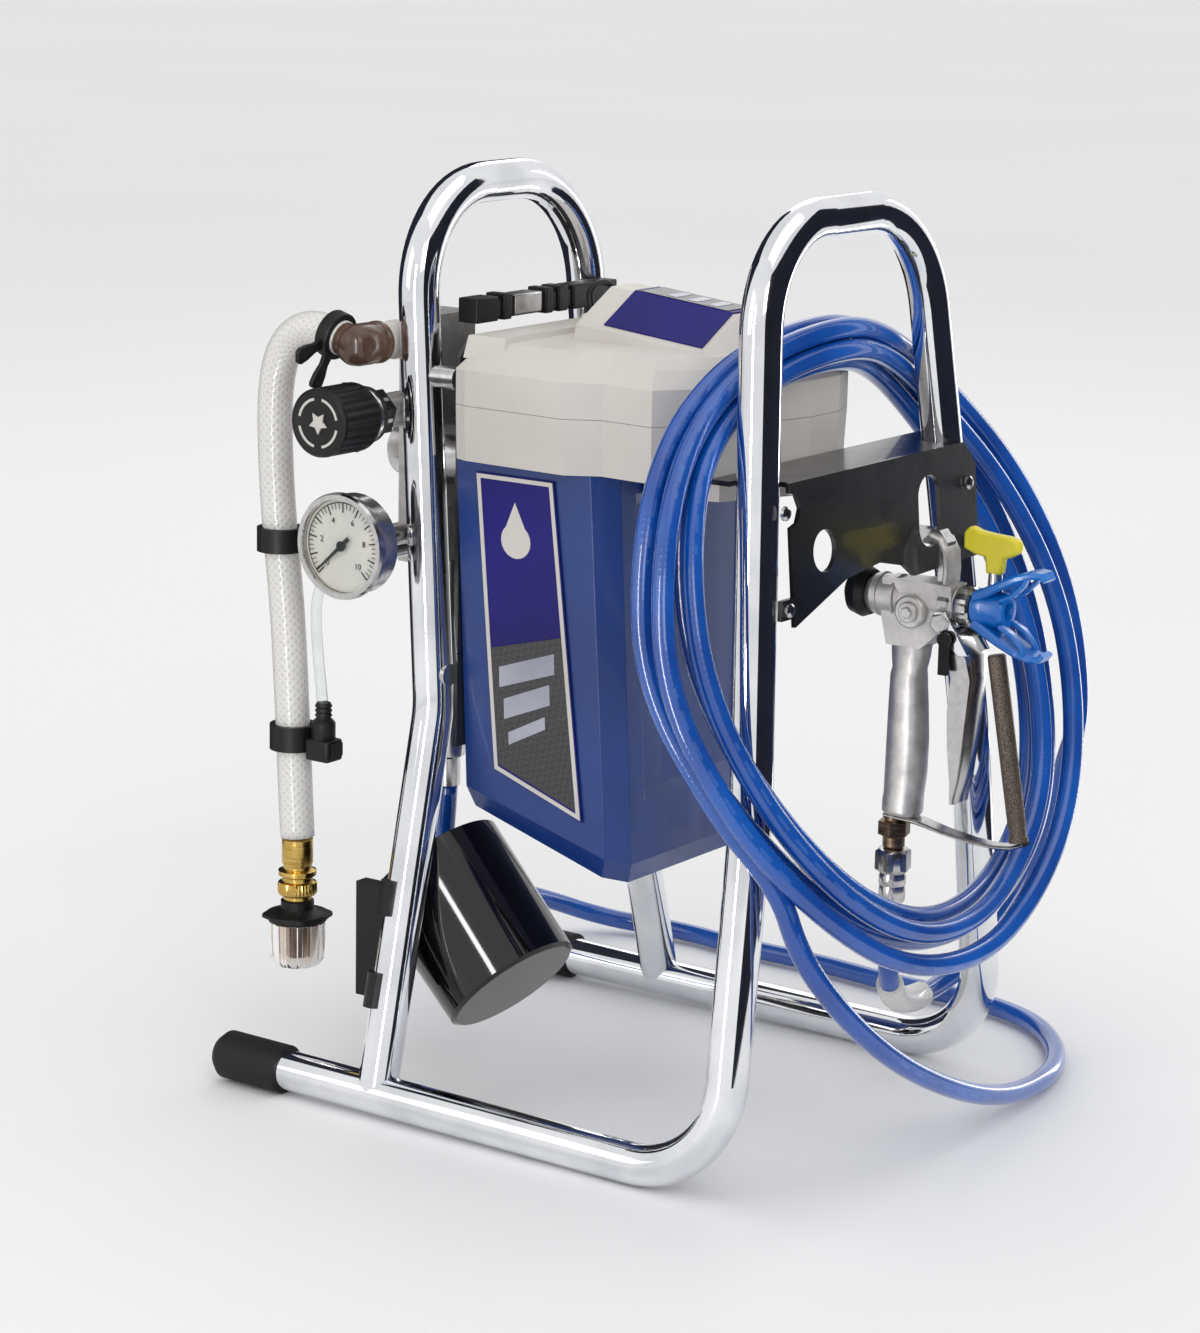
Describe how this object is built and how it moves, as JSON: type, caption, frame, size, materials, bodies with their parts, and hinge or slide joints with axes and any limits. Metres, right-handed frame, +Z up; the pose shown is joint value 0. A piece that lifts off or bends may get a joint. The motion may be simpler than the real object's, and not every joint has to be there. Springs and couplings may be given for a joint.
{
  "type": "airless paint sprayer",
  "caption": "Electric airless paint pump on a chrome tube stand, with gauge, pressure knob, suction hose, drip cup, coiled paint hose and a hand spray gun on its bracket.",
  "frame": {"origin": "floor plane, midway between the two floor rails, 150 mm behind the axis of the front corner bends", "axes": "+Z up, -Y to the front where the gun and the hose coil hang, -X to the side with the gauge and the knob"},
  "size_m": [0.4759, 0.4996, 0.5817],
  "materials": {
    "chrome": "polished",
    "black_steel": "satin",
    "black_plastic": "matte",
    "black_gloss": "gloss",
    "black_rubber": "matte",
    "blue_plastic": "satin",
    "white_plastic": "satin",
    "badge_violet": "gloss",
    "motor_steel": "brushed",
    "cast_alloy": "cast",
    "zinc_steel": "plated",
    "gauge_face": "matte",
    "needle_black": "matte",
    "clear_lens": "clear",
    "brass": "polished",
    "hose_white": "braided",
    "hose_clear": "clear",
    "hose_blue": "gloss",
    "strainer_amber": "translucent",
    "amber_plastic": "translucent",
    "tip_blue": "gloss",
    "tip_yellow": "gloss",
    "gear_steel": "machined",
    "bronze": "worn"
  },
  "bodies": {
    "stand": {"back_plate": "black_steel", "bracket_screws": "zinc_steel", "brass_coupling": "brass", "control_box": "black_plastic", "cup_bracket": "black_plastic", "drain_deflector": "black_plastic", "drain_tube": "hose_clear", "drip_cup": "black_gloss", "front_bracket": "black_steel", "front_frame": "chrome", "gauge_case": "zinc_steel", "gauge_dial": "gauge_face", "gauge_lens": "clear_lens", "gear_case": "cast_alloy", "gun_body": "cast_alloy", "gun_end_cap": "black_plastic", "gun_handle": "cast_alloy", "gun_hook": "zinc_steel", "hose_nut": "chrome", "left_foot_cap": "black_rubber", "lower_hose_clip": "black_plastic", "lower_housing": "white_plastic", "motor_can": "motor_steel", "motor_cover": "blue_plastic", "outlet_pipe": "zinc_steel", "packing_nut": "zinc_steel", "paint_hose_coil": "hose_blue", "paint_hose_run": "hose_blue", "paint_hose_tail": "hose_blue", "plate_spacers": "zinc_steel", "prime_valve": "zinc_steel", "pump_block": "cast_alloy", "pump_cylinder": "zinc_steel", "rear_cross_bar": "black_plastic", "rear_loop": "chrome", "right_foot_cap": "black_rubber", "side_badge": "badge_violet", "strainer_cap": "black_plastic", "strainer_cup": "strainer_amber", "suction_elbow": "amber_plastic", "suction_hose": "hose_white", "tip_guard": "tip_blue", "tip_nut": "zinc_steel", "top_badge": "badge_violet", "top_cover": "white_plastic", "trigger_guard": "zinc_steel", "upper_hose_clip": "black_plastic"},
    "rotor": {"motor_rotor": "gear_steel", "cooling_fan": "black_plastic"},
    "crank": {"crank_gear": "gear_steel"},
    "piston": {"piston_rod": "gear_steel"},
    "knob": {"pressure_knob": "black_plastic"},
    "needle": {"gauge_needle": "needle_black"},
    "prime": {"prime_lever": "black_plastic"},
    "switch": {"power_switch": "black_gloss"},
    "clamp": {"suction_clamp": "black_plastic"},
    "trigger": {"gun_trigger": "chrome"},
    "lock": {"trigger_lock": "black_plastic"},
    "tip": {"spray_tip": "tip_yellow"},
    "swivel": {"inlet_swivel": "bronze"}
  },
  "joints": [
    {"name": "rotor_spin", "type": "hinge", "parent": "stand", "child": "rotor", "pos_m": [0.03, 0.036, 0.26], "axis": [0, 0, 1], "continuous": true},
    {"name": "crank_spin", "type": "hinge", "parent": "stand", "child": "crank", "pos_m": [-0.0104, 0.036, 0.35], "axis": [0, 0, 1], "continuous": true},
    {"name": "piston_slide", "type": "slide", "parent": "stand", "child": "piston", "axis": [0, 1, 0], "range_m": [-0.008, 0.008]},
    {"name": "knob_turn", "type": "hinge", "parent": "stand", "child": "knob", "pos_m": [-0.163, 0.148, 0.432], "axis": [-1, 0, 0], "range_deg": [0, 300]},
    {"name": "needle_turn", "type": "hinge", "parent": "stand", "child": "needle", "pos_m": [-0.148, 0.141, 0.355], "axis": [-1, 0, 0], "range_deg": [0, 270], "stiffness_Nm_per_rad": 0.002},
    {"name": "prime_turn", "type": "hinge", "parent": "stand", "child": "prime", "pos_m": [-0.12, 0.157, 0.345], "axis": [-1, 0, 0], "range_deg": [0, 90]},
    {"name": "switch_rock", "type": "hinge", "parent": "stand", "child": "switch", "pos_m": [0.036, 0.1515, 0.431], "axis": [1, 0, 0], "range_deg": [-7, 7]},
    {"name": "clamp_turn", "type": "hinge", "parent": "stand", "child": "clamp", "pos_m": [-0.12, 0.1644, 0.4784], "axis": [0, 0.9615, 0.2747], "range_deg": [-90, 90]},
    {"name": "trigger_pull", "type": "hinge", "parent": "stand", "child": "trigger", "pos_m": [0.061, -0.168, 0.318], "axis": [1, 0, 0], "range_deg": [0, 12], "stiffness_Nm_per_rad": 2, "springref_deg": -8.59},
    {"name": "lock_turn", "type": "hinge", "parent": "trigger", "child": "lock", "pos_m": [0.044, -0.173, 0.309], "axis": [1, 0, 0], "range_deg": [0, 70]},
    {"name": "tip_turn", "type": "hinge", "parent": "stand", "child": "tip", "pos_m": [0.061, -0.197, 0.33], "axis": [0, 0, 1], "range_deg": [0, 180]},
    {"name": "swivel_turn", "type": "hinge", "parent": "stand", "child": "swivel", "pos_m": [0.061, -0.133, 0.18], "axis": [0, 0, 1], "range_deg": [-180, 180]}
  ],
  "couplings": [
    {"joint": "crank_spin", "follows": "rotor_spin", "ratio": -0.25}
  ]
}
